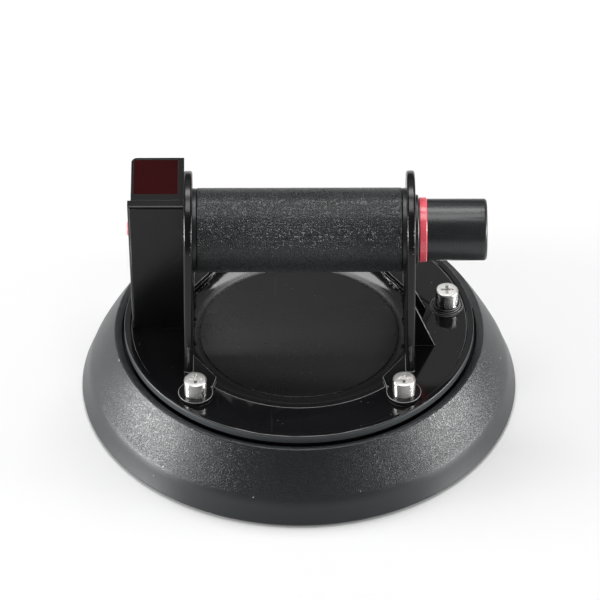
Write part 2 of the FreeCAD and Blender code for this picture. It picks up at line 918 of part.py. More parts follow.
def make_pod_rear_shell():
    shell = pod_solid(pod_split_y, pod_back_y, deck_z, pod_top_z, upright_outer, pod_inset)

    def back_corner(centre, edge):
        upright_edge = edge.BoundBox.ZLength > 1 and edge.BoundBox.YLength < 0.01
        return upright_edge and centre.y > pod_back_y - 0.01 and centre.x < -upright_outer - 1

    shell = round_edges(shell, pod_back_round, back_corner)

    def top_edge(centre, edge):
        flat = edge.BoundBox.ZLength < 0.01 and centre.z > pod_top_z - 0.01
        against = centre.x > -upright_outer - 0.01
        return flat and not against and centre.y > pod_split_y + 0.01

    shell = round_edges(shell, pod_top_round, top_edge)
    room = pod_solid(
        pod_split_y, pod_inner_back_y, pod_floor_top_z, pod_ceiling_z, pod_inner_right, pod_inset + pod_wall)
    shell = shell.cut(room)
    left, right, back = window_sides()
    ledge_z = pod_top_z - window_sink - window_thickness
    shell = shell.cut(block(left, right, window_front_y, back, ledge_z, pod_top_z))
    shell = shell.cut(block(
        left + window_ledge, right - window_ledge, window_front_y + window_ledge, back - window_ledge,
        pod_ceiling_z, pod_top_z))
    for x, z in pod_screw_places():
        shell = shell.fuse(rod_y(pod_post_meet_y, pod_inner_back_y, pod_post_radius, x, z))
        shell = shell.cut(rod_y(pod_post_meet_y, pod_back_y, pod_screw_radius, x, z))
        shell = shell.cut(rod_y(
            pod_back_y - pod_screw_head_height, pod_back_y, pod_screw_head_radius, x, z))
    for z in board_post_heights():
        shell = shell.fuse(rod_y(
            pod_inner_back_y - board_back_gap, pod_inner_back_y, board_post_radius, board_middle_x(), z))
    shell = shell.cut(rod_z(deck_z, pod_floor_top_z, bolt_hole_radius, pod_bolt_x, pod_bolt_y))
    shell = shell.cut(rod_z(deck_z, pod_floor_top_z, port_hole_radius(), -line_x, inlet_y))
    shell = shell.cut(rod_x(-pod_inner_right, -upright_outer, spigot_radius + hole_clearance, inlet_y))
    rim_room = rod_z(deck_z, rim_top_z + pod_rim_gap, lip_radius, 0, 0)
    rim_inner = rim_radius - rim_width - pod_rim_gap
    shell = shell.cut(rim_room.cut(rod_z(deck_z, rim_top_z + pod_rim_gap, rim_inner, 0, 0)))
    wall_hole = button_radius + button_side_gap
    shell = shell.cut(rod_x(-pod_left_top, -block_left, wall_hole, button_y, button_z))
    return shell.removeSplitter()


def make_pod_screws():
    screws = []
    for x, z in pod_screw_places():
        y1 = pod_back_y - pod_screw_head_height
        head = rod_y(y1, pod_back_y, pod_screw_head_radius, x, z)
        screw = head.fuse(rod_y(y1 - pod_screw_length, y1, pod_screw_radius, x, z)).removeSplitter()
        for a, b in ((pod_screw_radius, cross_width / 4), (cross_width / 4, pod_screw_radius)):
            screw = screw.cut(block(x - a, x + a, pod_back_y - 1, pod_back_y + 1, z - b, z + b))
        screws.append(screw)
    return Part.makeCompound(screws)


def make_display_window():
    left, right, back = window_sides()
    top = pod_top_z - window_sink
    return block(left, right, window_front_y, back, top - window_thickness, top)


def display_bottom_z():
    return pod_top_z - window_sink - window_thickness - display_height


def make_display_module():
    left, right, back = window_sides()
    margin = window_ledge + display_gap
    return block(
        left + margin, right - margin, window_front_y + margin, back - margin,
        display_bottom_z(), display_bottom_z() + display_height)


def board_front_y():
    return pod_inner_back_y - board_back_gap - board_thickness


def board_right():
    return -pod_inner_right - board_side_gap


def board_middle_x():
    return board_right() - board_width / 2


def board_post_heights():
    return (board_bottom_z + board_post_inset, display_bottom_z() - board_post_inset)


def make_control_board():
    return block(
        board_right() - board_width, board_right(), board_front_y(), board_front_y() + board_thickness,
        board_bottom_z, display_bottom_z())


def cell_centre():
    return board_right() - holder_size / 2, holder_bottom_z + holder_size / 2


def make_battery_holder():
    holder = block(
        board_right() - holder_size, board_right(), board_front_y() - holder_thickness, board_front_y(),
        holder_bottom_z, holder_bottom_z + holder_size)
    x, z = cell_centre()
    pocket = rod_y(
        board_front_y() - holder_thickness, cell_back_y(), cell_radius + cell_clearance, x, z)
    return holder.cut(pocket)


def cell_back_y():
    return board_front_y() - (holder_thickness - cell_thickness) / 2


def make_battery_cell():
    x, z = cell_centre()
    return rod_y(cell_back_y() - cell_thickness, cell_back_y(), cell_radius, x, z)


# ---- air line, release valve and sensor ---------------------------------------------------------


def make_manifold_block():
    body = block(
        -block_left, -pod_inner_right, block_front_y, block_back_y, block_bottom_z, block_top_z)
    body = body.fuse(rod_x(-pod_inner_right, spigot_end_x(), spigot_radius, inlet_y))
    body = body.fuse(rod_z(
        block_bottom_z - barb_length, block_bottom_z, barb_radius, -line_x, inlet_y)).removeSplitter()
    body = body.cut(rod_z(
        block_bottom_z - barb_length, axis_height + line_bore_radius, line_bore_radius, -line_x, inlet_y))
    body = body.cut(rod_x(-line_x, spigot_end_x(), cross_bore_radius, inlet_y))
    chamber_x = poppet_wall - block_left
    body = body.cut(rod_x(-block_left, chamber_x, poppet_hole_radius, button_y, button_z))
    body = body.cut(rod_x(
        chamber_x, chamber_x + poppet_chamber_length, poppet_chamber_radius, button_y, button_z))
    cross_way = rod_y(inlet_y, button_y, cross_bore_radius, -line_x, button_z)
    sensor_way = rod_y(
        inlet_y, block_back_y, cross_bore_radius, -line_x, sensor_bottom_z + sensor_size / 2)
    return body.cut(cross_way).cut(sensor_way)


def make_vacuum_hose():
    z0 = pod_floor_top_z + port_hex_height + hose_end_gap
    z1 = block_bottom_z - hose_end_gap
    hose = rod_z(z0, z1, hose_radius, -line_x, inlet_y)
    return hose.cut(rod_z(z0, z1, barb_radius, -line_x, inlet_y))


def port_end_z():
    return clamp_bottom_z - port_nut_height - port_end_spare


def make_port_fitting():
    hex_top = pod_floor_top_z + port_hex_height
    fitting = hexagon(pod_floor_top_z, hex_top, port_hex_flats, -line_x, inlet_y)
    fitting = fitting.fuse(rod_z(hex_top, hex_top + barb_length, barb_radius, -line_x, inlet_y))
    fitting = fitting.fuse(rod_z(port_end_z(), pod_floor_top_z, port_shank_radius, -line_x, inlet_y))
    way = rod_z(port_end_z(), hex_top + barb_length, line_bore_radius, -line_x, inlet_y)
    return fitting.removeSplitter().cut(way)


def make_port_nut():
    z0 = clamp_bottom_z - port_nut_height
    nut = hexagon(z0, clamp_bottom_z, port_hex_flats, -line_x, inlet_y)
    return nut.cut(rod_z(z0, clamp_bottom_z, port_shank_radius, -line_x, inlet_y))


def make_intake_filter():
    return rod_z(port_end_z() - filter_thickness, port_end_z(), filter_radius, -line_x, inlet_y)


def button_flange_x():
    wall_face = pod_inset + pod_wall - pod_left_at(button_z)
    return wall_face + stop_gap


def seal_x():
    return poppet_wall - block_left + poppet_seal_gap


def make_release_button():
    tip_x = -(pod_left_at(button_z) + button_proud)
    flange_x = button_flange_x()
    flange_end = flange_x + button_flange_thickness
    cap = rod_x(tip_x, flange_x, button_radius, button_y, button_z)
    cap = round_edges(
        cap, button_edge_round, lambda c, e: c.x < tip_x + 0.01 and e.BoundBox.XLength < 0.01)
    head_x = seal_x() + poppet_seal_thickness
    button = cap.fuse(rod_x(flange_x, flange_end, button_flange_radius, button_y, button_z))
    button = button.fuse(rod_x(flange_end, head_x, poppet_stem_radius, button_y, button_z))
    head = rod_x(head_x, head_x + poppet_head_thickness, poppet_head_radius, button_y, button_z)
    return button.fuse(head).removeSplitter()


def make_valve_seal():
    return tube_x(
        seal_x(), seal_x() + poppet_seal_thickness, poppet_seal_radius, poppet_stem_radius,
        button_y, button_z)


def make_button_spring():
    return coil_x(
        button_flange_x() + button_flange_thickness, -block_left, button_spring_radius,
        button_spring_wire, button_spring_turns, button_y, button_z)


def make_pressure_sensor():
    return block(
        -line_x - sensor_size / 2, -line_x + sensor_size / 2, block_back_y, board_front_y(),
        sensor_bottom_z, sensor_bottom_z + sensor_size)


# ---- write every piece --------------------------------------------------------------------------

save("rubber_cup", make_rubber_cup())
save("base_plate", make_base_plate())
save("clamp_plate", make_clamp_plate())
save("foot_bolts", make_foot_bolts())
save("clamp_washers", make_clamp_washers())
save("clamp_nuts", make_clamp_nuts())
save("left_upright", make_left_upright())
save("right_upright", make_right_upright())
save("head_screws", make_head_screws())
save("pump_cylinder", make_pump_cylinder())
save("guide_bush", make_guide_bush())
save("left_end_ring", make_end_ring(-1))
save("right_end_ring", make_end_ring(1))
save("grip_sleeve", make_grip_sleeve())
save("cylinder_head", make_cylinder_head())
save("head_seal", make_head_seal())
save("inlet_valve", make_inlet_valve())
save("exhaust_valve", make_exhaust_valve())
save("plunger_body", make_plunger_body())
save("plunger_cap", make_plunger_cap())
save("warning_ring", make_warning_ring())
save("retaining_clip", make_retaining_clip())
save("piston", make_piston())
save("piston_seal", make_piston_seal())
save("plunger_spring", make_plunger_spring())
save("pod_front_cover", make_pod_front_cover())
save("pod_rear_shell", make_pod_rear_shell())
save("pod_screws", make_pod_screws())
save("display_window", make_display_window())
save("display_module", make_display_module())
save("control_board", make_control_board())
save("battery_holder", make_battery_holder())
save("battery_cell", make_battery_cell())
save("manifold_block", make_manifold_block())
save("vacuum_hose", make_vacuum_hose())
save("port_fitting", make_port_fitting())
save("port_nut", make_port_nut())
save("intake_filter", make_intake_filter())
save("release_button", make_release_button())
save("valve_seal", make_valve_seal())
save("button_spring", make_button_spring())
save("pressure_sensor", make_pressure_sensor())
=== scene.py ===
import math
import bmesh
import bpy
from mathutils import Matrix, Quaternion, Vector


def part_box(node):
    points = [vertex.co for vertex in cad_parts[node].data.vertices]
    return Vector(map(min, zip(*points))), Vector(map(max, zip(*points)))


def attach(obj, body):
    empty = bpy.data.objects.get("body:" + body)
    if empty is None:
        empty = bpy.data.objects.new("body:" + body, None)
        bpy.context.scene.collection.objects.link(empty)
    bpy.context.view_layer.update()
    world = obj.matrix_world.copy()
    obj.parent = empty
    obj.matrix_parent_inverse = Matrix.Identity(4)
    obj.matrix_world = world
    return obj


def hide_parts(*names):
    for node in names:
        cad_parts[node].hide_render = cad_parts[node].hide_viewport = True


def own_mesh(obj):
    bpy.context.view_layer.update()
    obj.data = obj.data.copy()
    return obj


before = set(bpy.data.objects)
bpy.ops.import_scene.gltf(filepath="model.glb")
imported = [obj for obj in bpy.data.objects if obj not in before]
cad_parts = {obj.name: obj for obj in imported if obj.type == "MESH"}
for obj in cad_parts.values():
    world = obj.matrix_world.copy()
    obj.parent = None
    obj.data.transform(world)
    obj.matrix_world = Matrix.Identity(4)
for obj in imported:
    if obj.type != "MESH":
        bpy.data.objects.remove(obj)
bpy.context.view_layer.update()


# ---- Rubber cup ----
# One moulding of black rubber: a smooth lip that grips the tile, a pebbled dome above it and a
# web that is clamped under the plate. The dome carries a little pale dust from the workshop.

def add_node(tree, kind, **values):
    """Adds a shader node and sets its plain inputs by their spoken names."""
    node = tree.nodes.new(kind)
    for name, value in values.items():
        node.inputs[name.replace("_", " ")].default_value = value
    return node


def noise(tree, place, scale, detail=3.0, roughness=0.55):
    """Cloudy noise, most of it between 0.3 and 0.7."""
    node = add_node(tree, "ShaderNodeTexNoise", Scale=scale, Detail=detail, Roughness=roughness)
    tree.links.new(place, node.inputs["Vector"])
    return node.outputs["Fac"]


def remap(tree, value, low, high, to_low=0.0, to_high=1.0, smooth=False):
    """Maps low..high to to_low..to_high and holds it there outside."""
    node = add_node(
        tree, "ShaderNodeMapRange", From_Min=low, From_Max=high, To_Min=to_low, To_Max=to_high)
    node.interpolation_type = "SMOOTHSTEP" if smooth else "LINEAR"
    tree.links.new(value, node.inputs["Value"])
    return node.outputs["Result"]


def spread(tree, mask, low, high):
    """Stretches a mask of 0 to 1 over low..high."""
    return remap(tree, mask, 0.0, 1.0, low, high)


def combine(tree, operation, first, second):
    """One sum of a Math node; each side is a socket or a plain number."""
    node = tree.nodes.new("ShaderNodeMath")
    node.operation = operation
    for socket, value in zip(node.inputs, (first, second)):
        if isinstance(value, (int, float)):
            socket.default_value = value
        else:
            tree.links.new(value, socket)
    return node.outputs["Value"]


def add_share(tree, value, mask, share):
    """A value raised by a share of a mask."""
    return combine(tree, "ADD", value, combine(tree, "MULTIPLY", mask, share))


def tint(tree, mask, plain, marked):
    """A colour that goes from plain to marked as the mask goes from 0 to 1."""
    node = tree.nodes.new("ShaderNodeMix")
    node.data_type = "RGBA"
    tree.links.new(mask, node.inputs["Factor"])
    for name, value in (("A", plain), ("B", marked)):
        socket = [s for s in node.inputs if s.name == name and s.type == "RGBA"][0]
        if isinstance(value, tuple):
            socket.default_value = (*value, 1)
        else:
            tree.links.new(value, socket)
    return [s for s in node.outputs if s.type == "RGBA"][0]


def height_of(tree, place):
    """The height in the piece's own coordinates."""
    split = tree.nodes.new("ShaderNodeSeparateXYZ")
    tree.links.new(place, split.inputs["Vector"])
    return split.outputs["Z"]


def make_group(name, inputs, outputs):
    """A shader node group with float inputs, a Place input, and float outputs."""
    group = bpy.data.node_groups.new(name, "ShaderNodeTree")
    group.interface.new_socket("Place", in_out="INPUT", socket_type="NodeSocketVector")
    for socket, value in inputs.items():
        made = group.interface.new_socket(socket, in_out="INPUT", socket_type="NodeSocketFloat")
        made.default_value = value
    for socket in outputs:
        group.interface.new_socket(socket, in_out="OUTPUT", socket_type="NodeSocketFloat")
    return group, group.nodes.new("NodeGroupInput"), group.nodes.new("NodeGroupOutput")


def place_group(tree, group, place, **values):
    """Puts a node group into a tree with its own values, and gives its outputs."""
    node = tree.nodes.new("ShaderNodeGroup")
    node.node_tree = group
    tree.links.new(place, node.inputs["Place"])
    for name, value in values.items():
        node.inputs[name.replace("_", " ")].default_value = value
    return node.outputs


def scatter_cells(tree, given, feature, scale_input):
    """Scattered cells, as many per metre as the group is told."""
    cells = tree.nodes.new("ShaderNodeTexVoronoi")
    cells.feature = feature
    tree.links.new(given.outputs["Place"], cells.inputs["Vector"])
    tree.links.new(given.outputs[scale_input], cells.inputs["Scale"])
    return cells


def make_pebble_grain():
    """Rounded pebbles with narrow valleys, as on grained rubber: a height and its valleys."""
    group, given, result = make_group("pebble grain", {"Cells per metre": 800.0}, ["Height", "Valleys"])
    cells = scatter_cells(group, given, "DISTANCE_TO_EDGE", "Cells per metre")
    cells.inputs["Randomness"].default_value = 0.85
    valley_floor, valley_rim, pebble_top = 0.02, 0.12, 0.35
    height = remap(group, cells.outputs["Distance"], valley_floor, pebble_top, smooth=True)
    valleys = remap(group, cells.outputs["Distance"], 0.0, valley_rim, 1.0, 0.0)
    group.links.new(height, result.inputs["Height"])
    group.links.new(valleys, result.inputs["Valleys"])
    return group


def make_dust():
    """Sparse pale specks and a faint cloudy film: a mask for each."""
    group, given, result = make_group("settled dust", {"Specks per metre": 260.0}, ["Specks", "Film"])
    cells = scatter_cells(group, given, "F1", "Specks per metre")
    speck_core, speck_edge = 0.040, 0.065
    dots = remap(group, cells.outputs["Distance"], speck_core, speck_edge, 1.0, 0.0)
    clean_below, dusty_above = 0.52, 0.56
    patches = noise(group, given.outputs["Place"], 90.0)
    chosen = remap(group, patches, clean_below, dusty_above)
    group.links.new(combine(group, "MULTIPLY", dots, chosen), result.inputs["Specks"])
    film = noise(group, given.outputs["Place"], 22.0, detail=5.0, roughness=0.6)
    group.links.new(remap(group, film, 0.35, 0.75), result.inputs["Film"])
    return group


def make_mottle():
    """Slow and quick unevenness of a moulded or painted face, each about 0 to 1."""
    group, given, result = make_group("surface mottle", {"Slow": 30.0, "Quick": 900.0}, ["Slow", "Quick"])
    for name, detail in (("Slow", 4.0), ("Quick", 2.0)):
        cloud = add_node(group, "ShaderNodeTexNoise", Detail=detail, Roughness=0.55)
        group.links.new(given.outputs["Place"], cloud.inputs["Vector"])
        group.links.new(given.outputs[name], cloud.inputs["Scale"])
        group.links.new(remap(group, cloud.outputs["Fac"], 0.3, 0.7), result.inputs[name])
    return group


def make_scuffs():
    """Fine stray scratches that run in two directions: a mask."""
    group, given, result = make_group("fine scuffs", {"Amount": 0.5}, ["Scuffs"])
    along_scratch, through_face = 18.0, 60.0
    streaks = []
    for turn, across_scratch in ((0.4, 900.0), (1.9, 700.0)):
        mapping = add_node(
            group, "ShaderNodeMapping", Rotation=(0.3 * turn, 0.2, turn),
            Scale=(across_scratch, along_scratch, through_face))
        group.links.new(given.outputs["Place"], mapping.inputs["Vector"])
        streak = noise(group, mapping.outputs["Vector"], 1.0, detail=2.0)
        streaks.append(remap(group, streak, 0.68, 0.78))
    lines = combine(group, "MAXIMUM", *streaks)
    group.links.new(combine(group, "MULTIPLY", lines, given.outputs["Amount"]), result.inputs["Scuffs"])
    return group


pebble_grain = make_pebble_grain()
settled_dust = make_dust()
surface_mottle = make_mottle()
fine_scuffs = make_scuffs()


def new_finish(name):
    """A material with its Principled shader and the piece's own coordinates."""
    material = bpy.data.materials.new(name)
    material.use_nodes = True
    tree = material.node_tree
    shader = tree.nodes["Principled BSDF"]
    place = tree.nodes.new("ShaderNodeTexCoord").outputs["Object"]
    return material, tree, shader, place


def feed(tree, shader, colour, roughness):
    """Links a colour and a roughness that change over the surface."""
    tree.links.new(colour, shader.inputs["Base Color"])
    tree.links.new(roughness, shader.inputs["Roughness"])


def add_bump(tree, shader, height, distance, strength):
    """Turns a height of 0 to 1 into relief of a distance in metres."""
    bump = add_node(tree, "ShaderNodeBump", Strength=strength, Distance=distance)
    tree.links.new(height, bump.inputs["Height"])
    tree.links.new(bump.outputs["Normal"], shader.inputs["Normal"])


def made_piece(name, mesh, crease_deg=32):
    """Turns a bmesh into an object that is smooth but for its real corners."""
    data = bpy.data.meshes.new(name)
    mesh.to_mesh(data)
    mesh.free()
    data.polygons.foreach_set("use_smooth", [True] * len(data.polygons))
    data.set_sharp_from_angle(angle=math.radians(crease_deg))
    piece = bpy.data.objects.new(name, data)
    bpy.context.scene.collection.objects.link(piece)
    return piece


def spun(name, profile, steps, along="Z", centre=(0, 0, 0), closed=True):
    """Spins a profile of (radius, distance along the axis) points into a closed skin."""
    mesh = bmesh.new()
    corners = []
    for radius, reach in profile:
        spot = Vector((radius, 0, reach)) if along == "Z" else Vector((reach, 0, radius))
        corners.append(mesh.verts.new(spot + Vector(centre)))
    ends = corners[1:] + corners[:1] if closed else corners[1:]
    edges = [mesh.edges.new(pair) for pair in zip(corners, ends)]
    axis = (0, 0, 1) if along == "Z" else (1, 0, 0)
    bmesh.ops.spin(
        mesh, geom=corners + edges, cent=centre, axis=axis, angle=2 * math.pi, steps=steps, use_merge=True)
    bmesh.ops.remove_doubles(mesh, verts=mesh.verts, dist=1e-6)
    bmesh.ops.dissolve_degenerate(mesh, dist=1e-7, edges=mesh.edges)
    bmesh.ops.recalc_face_normals(mesh, faces=mesh.faces)
    return made_piece(name, mesh)


def bow(start, middle, end, count):
    """Points on a round bow through three points, both ends included."""
    ax, ay = start
    bx, by = middle
    cx, cy = end
    a_square, b_square, c_square = (x * x + y * y for x, y in (start, middle, end))
    twice_turn = 2 * (ax * (by - cy) + bx * (cy - ay) + cx * (ay - by))
    centre_x = (a_square * (by - cy) + b_square * (cy - ay) + c_square * (ay - by)) / twice_turn
    centre_y = (a_square * (cx - bx) + b_square * (ax - cx) + c_square * (bx - ax)) / twice_turn
    radius = math.hypot(ax - centre_x, ay - centre_y)
    first = math.atan2(ay - centre_y, ax - centre_x)
    last = math.atan2(cy - centre_y, cx - centre_x)
    turn = math.remainder(last - first, 2 * math.pi)
    angles = [first + turn * step / (count - 1) for step in range(count)]
    return [(centre_x + radius * math.cos(a), centre_y + radius * math.sin(a)) for a in angles]


def dress(piece, body, finish, slot, *nodes):
    """Puts the finish on a piece, joins it to its body and hides the CAD nodes it shows."""
    piece.data.materials.clear()
    piece.data.materials.append(finish)
    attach(piece, body)
    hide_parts(*nodes)


def make_cup_rubber():
    """Black rubber: a smooth lip, then a grain that starts where the dome does, with painted shade in its
    valleys.
    """
    lip_black = (0.019, 0.022, 0.024)
    dome_black, dome_worn = (0.0105, 0.0120, 0.0142), (0.0135, 0.0152, 0.0175)
    valley_painted_shade, film_grey = (0.006, 0.006, 0.007), (0.11, 0.11, 0.11)
    scuff_grey, speck_white = (0.035, 0.035, 0.037), (0.55, 0.55, 0.54)
    grain_start, grain_full = 0.0105, 0.0150

    finish, tree, shader, place = new_finish("cup rubber")
    on_dome = remap(tree, height_of(tree, place), grain_start, grain_full, smooth=True)
    grain = place_group(tree, pebble_grain, place, Cells_per_metre=1500.0)
    cloud = place_group(tree, surface_mottle, place, Slow=26.0, Quick=2400.0)
    dust = place_group(tree, settled_dust, place, Specks_per_metre=150.0)
    scuffs = place_group(tree, fine_scuffs, place, Amount=0.35)
    colour = tint(tree, cloud["Slow"], dome_black, dome_worn)
    colour = tint(tree, on_dome, lip_black, colour)
    # The grain's valleys are darkened: painted shade in the hollows between pebbles.
    valleys = combine(tree, "MULTIPLY", grain["Valleys"], combine(tree, "MULTIPLY", on_dome, 0.5))
    colour = tint(tree, valleys, colour, valley_painted_shade)
    colour = tint(tree, combine(tree, "MULTIPLY", dust["Film"], 0.025), colour, film_grey)
    colour = tint(tree, scuffs["Scuffs"], colour, scuff_grey)
    colour = tint(tree, combine(tree, "MULTIPLY", dust["Specks"], 0.9), colour, speck_white)
    dull = add_share(tree, spread(tree, cloud["Quick"], 0.29, 0.34), dust["Film"], 0.03)
    feed(tree, shader, colour, dull)
    relief = combine(tree, "MULTIPLY", grain["Height"], on_dome)
    relief = add_share(tree, relief, cloud["Quick"], 0.08)
    add_bump(tree, shader, relief, distance=0.00007, strength=0.9)
    return finish


# The outline runs from the tile up the outside, in under the plate and back down the cavity. Its
# points are (radius, height); the web rests on the clamp plate.
lip_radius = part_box("rubber_cup")[1][0]
ring_outer_radius, ring_inner_radius = 0.0988, 0.0950
plate_seat_radius = 0.0822
web_hole_radius = 0.0401
web_thickness = 0.0050
web_bottom_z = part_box("clamp_plate")[1][2]
web_top_z = web_bottom_z + web_thickness

lip_foot = bow((ring_outer_radius, 0.0), (0.1006, 0.0004), (0.1017, 0.0015), count=6)
lip_flank = [(lip_radius, 0.0020), (0.1016, 0.0025), (0.1006, 0.0050), (0.0991, 0.0091)]
dome = bow((0.09835, 0.0113), (0.09275, 0.0224), (0.0864, 0.0332), count=16)
shoulder = [(0.0862, 0.0335), (0.0858, 0.0337), (0.0853, 0.0337), (0.0830, 0.0331)]
plate_seat = [(plate_seat_radius, 0.0322), (plate_seat_radius, web_top_z)]
web = [(web_hole_radius, web_top_z), (web_hole_radius, web_bottom_z)]
cavity = bow((0.0806, web_bottom_z), (0.0827, 0.02262), (0.0836, 0.0205), count=5)
cavity += [(ring_inner_radius, 0.0)]
cup = spun(
    "rubber_cup_moulding", lip_foot + lip_flank + dome + shoulder + plate_seat + web + cavity, steps=224)
dress(cup, "base", make_cup_rubber(), "cup_rubber", "rubber_cup")


# ---- Clamp plate, its washers and nuts, and the intake filter ----
# A flat turned aluminium disc squeezes the rubber web against the plate from below. Zinc-plated
# washers and nuts hold it, and a porous bronze disc keeps grit out of the air line.

def make_turned_aluminium():
    """Bare aluminium with the fine rings that a lathe leaves."""
    bright, dark = (0.60, 0.61, 0.63), (0.50, 0.51, 0.53)
    finish, tree, shader, place = new_finish("turned aluminium")
    shader.inputs["Metallic"].default_value = 1.0
    rings = add_node(tree, "ShaderNodeTexWave", Scale=900.0, Distortion=1.5)
    rings.wave_type = "RINGS"
    rings.rings_direction = "Z"
    tree.links.new(place, rings.inputs["Vector"])
    cloud = place_group(tree, surface_mottle, place, Slow=45.0, Quick=600.0)
    colour = tint(tree, cloud["Slow"], bright, dark)
    feed(tree, shader, colour, spread(tree, cloud["Quick"], 0.28, 0.42))
    add_bump(tree, shader, rings.outputs["Fac"], distance=0.00002, strength=0.5)
    return finish


def make_metal(name, bright, dark, rough, turned=False):
    """Plated or bare metal with a cloudy tone and fine scratches, or turned metal with fine grooves."""
    finish, tree, shader, place = new_finish(name)
    shader.inputs["Metallic"].default_value = 1.0
    cloud = place_group(tree, surface_mottle, place, Slow=160.0, Quick=1500.0)
    scuffs = place_group(tree, fine_scuffs, place, Amount=0.2)
    scratched = tuple(channel * 0.6 for channel in dark)
    colour = tint(tree, scuffs["Scuffs"], tint(tree, cloud["Slow"], bright, dark), scratched)
    dull = add_share(tree, spread(tree, cloud["Quick"], rough, rough + 0.12), scuffs["Scuffs"], 0.15)
    if turned:
        # A bolt's flank is smoother than its top face.
        flank_below_z, top_above_z = 0.0464, 0.0466
        flank = remap(tree, height_of(tree, place), flank_below_z, top_above_z, -0.13, 0.0)
        dull = combine(tree, "ADD", dull, flank)
        grooves = add_node(tree, "ShaderNodeTexWave", Scale=900.0, Distortion=0.6)
        grooves.wave_type = "BANDS"
        grooves.bands_direction = "Z"
        tree.links.new(place, grooves.inputs["Vector"])
        add_bump(tree, shader, grooves.outputs["Fac"], distance=0.00005, strength=1.0)
    else:
        add_bump(tree, shader, cloud["Quick"], distance=0.00002, strength=0.4)
    feed(tree, shader, colour, dull)
    return finish


def coat(finish, *names):
    """Gives CAD nodes that are shown as they are a finish of their own."""
    for name in names:
        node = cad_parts[name]
        node.data.materials.clear()
        node.data.materials.append(finish)


turned_aluminium = make_turned_aluminium()
zinc_plate = make_metal("zinc plate", (0.56, 0.57, 0.58), (0.42, 0.43, 0.45), rough=0.28)
sintered_bronze = make_metal("sintered bronze", (0.36, 0.22, 0.09), (0.20, 0.12, 0.05), rough=0.55)
coat(turned_aluminium, "clamp_plate")
coat(zinc_plate, "clamp_washers", "clamp_nuts")
coat(sintered_bronze, "intake_filter")


# ---- Base plate ----
# A polished black moulding with a raised rim and a shallow round dish. The corners of the dish are
# cut off straight where the uprights and their webs stand on the flat deck.

def merged_copy(node, name):
    """A copy of a CAD node with its loose triangles joined and its flat faces made whole."""
    mesh = bmesh.new()
    mesh.from_mesh(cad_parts[node].data)
    bmesh.ops.remove_doubles(mesh, verts=mesh.verts, dist=2e-6)
    bmesh.ops.dissolve_limit(
        mesh, angle_limit=math.radians(0.4), verts=mesh.verts, edges=mesh.edges, delimit={"NORMAL"})
    return made_piece(name, mesh, crease_deg=28)


def soften(piece, width, clamp=True):
    """Rounds the real corners a little, as a mould or a deburring wheel leaves them."""
    bevel = piece.modifiers.new("soft corners", "BEVEL")
    bevel.width = width
    bevel.segments = 2
    bevel.limit_method = "ANGLE"
    bevel.angle_limit = math.radians(32)
    bevel.harden_normals = True
    bevel.use_clamp_overlap = clamp


def make_painted_edge_highlight(name, dark, pale, rough):
    """Corners painted paler as a highlight line along the edges, from the deck upwards."""
    no_highlight_black = (0.006, 0.006, 0.006)
    highlight_from_z, highlight_full_z = 0.0358, 0.0364
    finish, tree, shader, place = new_finish(name)
    cloud = place_group(tree, surface_mottle, place, Slow=90.0, Quick=1600.0)
    # Mask of the painted edge highlight: none below the deck, full above it.
    rubbed = remap(tree, height_of(tree, place), highlight_from_z, highlight_full_z)
    colour = tint(tree, rubbed, no_highlight_black, tint(tree, cloud["Slow"], dark, pale))
    feed(tree, shader, colour, spread(tree, cloud["Quick"], rough, rough + 0.1))
    add_bump(tree, shader, cloud["Quick"], distance=0.00002, strength=0.4)
    return finish


def paint_corner_highlight(piece, finish):
    """Gives the faces of a piece's soft corners a finish of their own, a painted highlight along the edges.
    """
    piece.data.materials.append(finish)
    piece.modifiers["soft corners"].material = len(piece.data.materials) - 1


def make_plate_black():
    """Black moulding: a mirror-like deck, a satin dish and a satin outer rim, whose paler grey is painted
    light on its side.
    """
    deck_black, deck_worn = (0.005, 0.005, 0.0055), (0.008, 0.008, 0.009)
    # The outer rim's paler grey is painted light, standing for the front light on the rim's side.
    dish_black, rim_painted_light_grey = (0.008, 0.008, 0.009), (0.045, 0.050, 0.053)
    scuff_grey, speck_grey = (0.02, 0.02, 0.022), (0.4, 0.4, 0.4)
    dish_below_z, deck_above_z = 0.0318, 0.0323
    rim_from_radius, rim_full_radius = 0.08125, 0.08150

    finish, tree, shader, place = new_finish("plate black")
    flat = tree.nodes.new("ShaderNodeVectorMath")
    flat.operation = "MULTIPLY"
    flat.inputs[1].default_value = (1, 1, 0)
    tree.links.new(place, flat.inputs[0])
    reach = tree.nodes.new("ShaderNodeVectorMath")
    reach.operation = "LENGTH"
    tree.links.new(flat.outputs["Vector"], reach.inputs[0])
    in_dish = remap(tree, height_of(tree, place), dish_below_z, deck_above_z, 1.0, 0.0)
    on_rim = remap(tree, reach.outputs["Value"], rim_from_radius, rim_full_radius)
    cloud = place_group(tree, surface_mottle, place, Slow=24.0, Quick=420.0)
    scuffs = place_group(tree, fine_scuffs, place, Amount=0.35)
    dust = place_group(tree, settled_dust, place, Specks_per_metre=300.0)
    colour = tint(tree, cloud["Slow"], deck_black, deck_worn)
    colour = tint(tree, in_dish, colour, dish_black)
    colour = tint(tree, on_rim, colour, rim_painted_light_grey)
    colour = tint(tree, scuffs["Scuffs"], colour, scuff_grey)
    colour = tint(tree, combine(tree, "MULTIPLY", dust["Specks"], 0.7), colour, speck_grey)
    dull = spread(tree, cloud["Quick"], 0.06, 0.10)
    for mask, share in ((in_dish, 0.20), (on_rim, 0.32), (scuffs["Scuffs"], 0.25), (dust["Film"], 0.03)):
        dull = add_share(tree, dull, mask, share)
    feed(tree, shader, colour, dull)
    add_bump(tree, shader, cloud["Slow"], distance=0.00025, strength=0.3)
    return finish


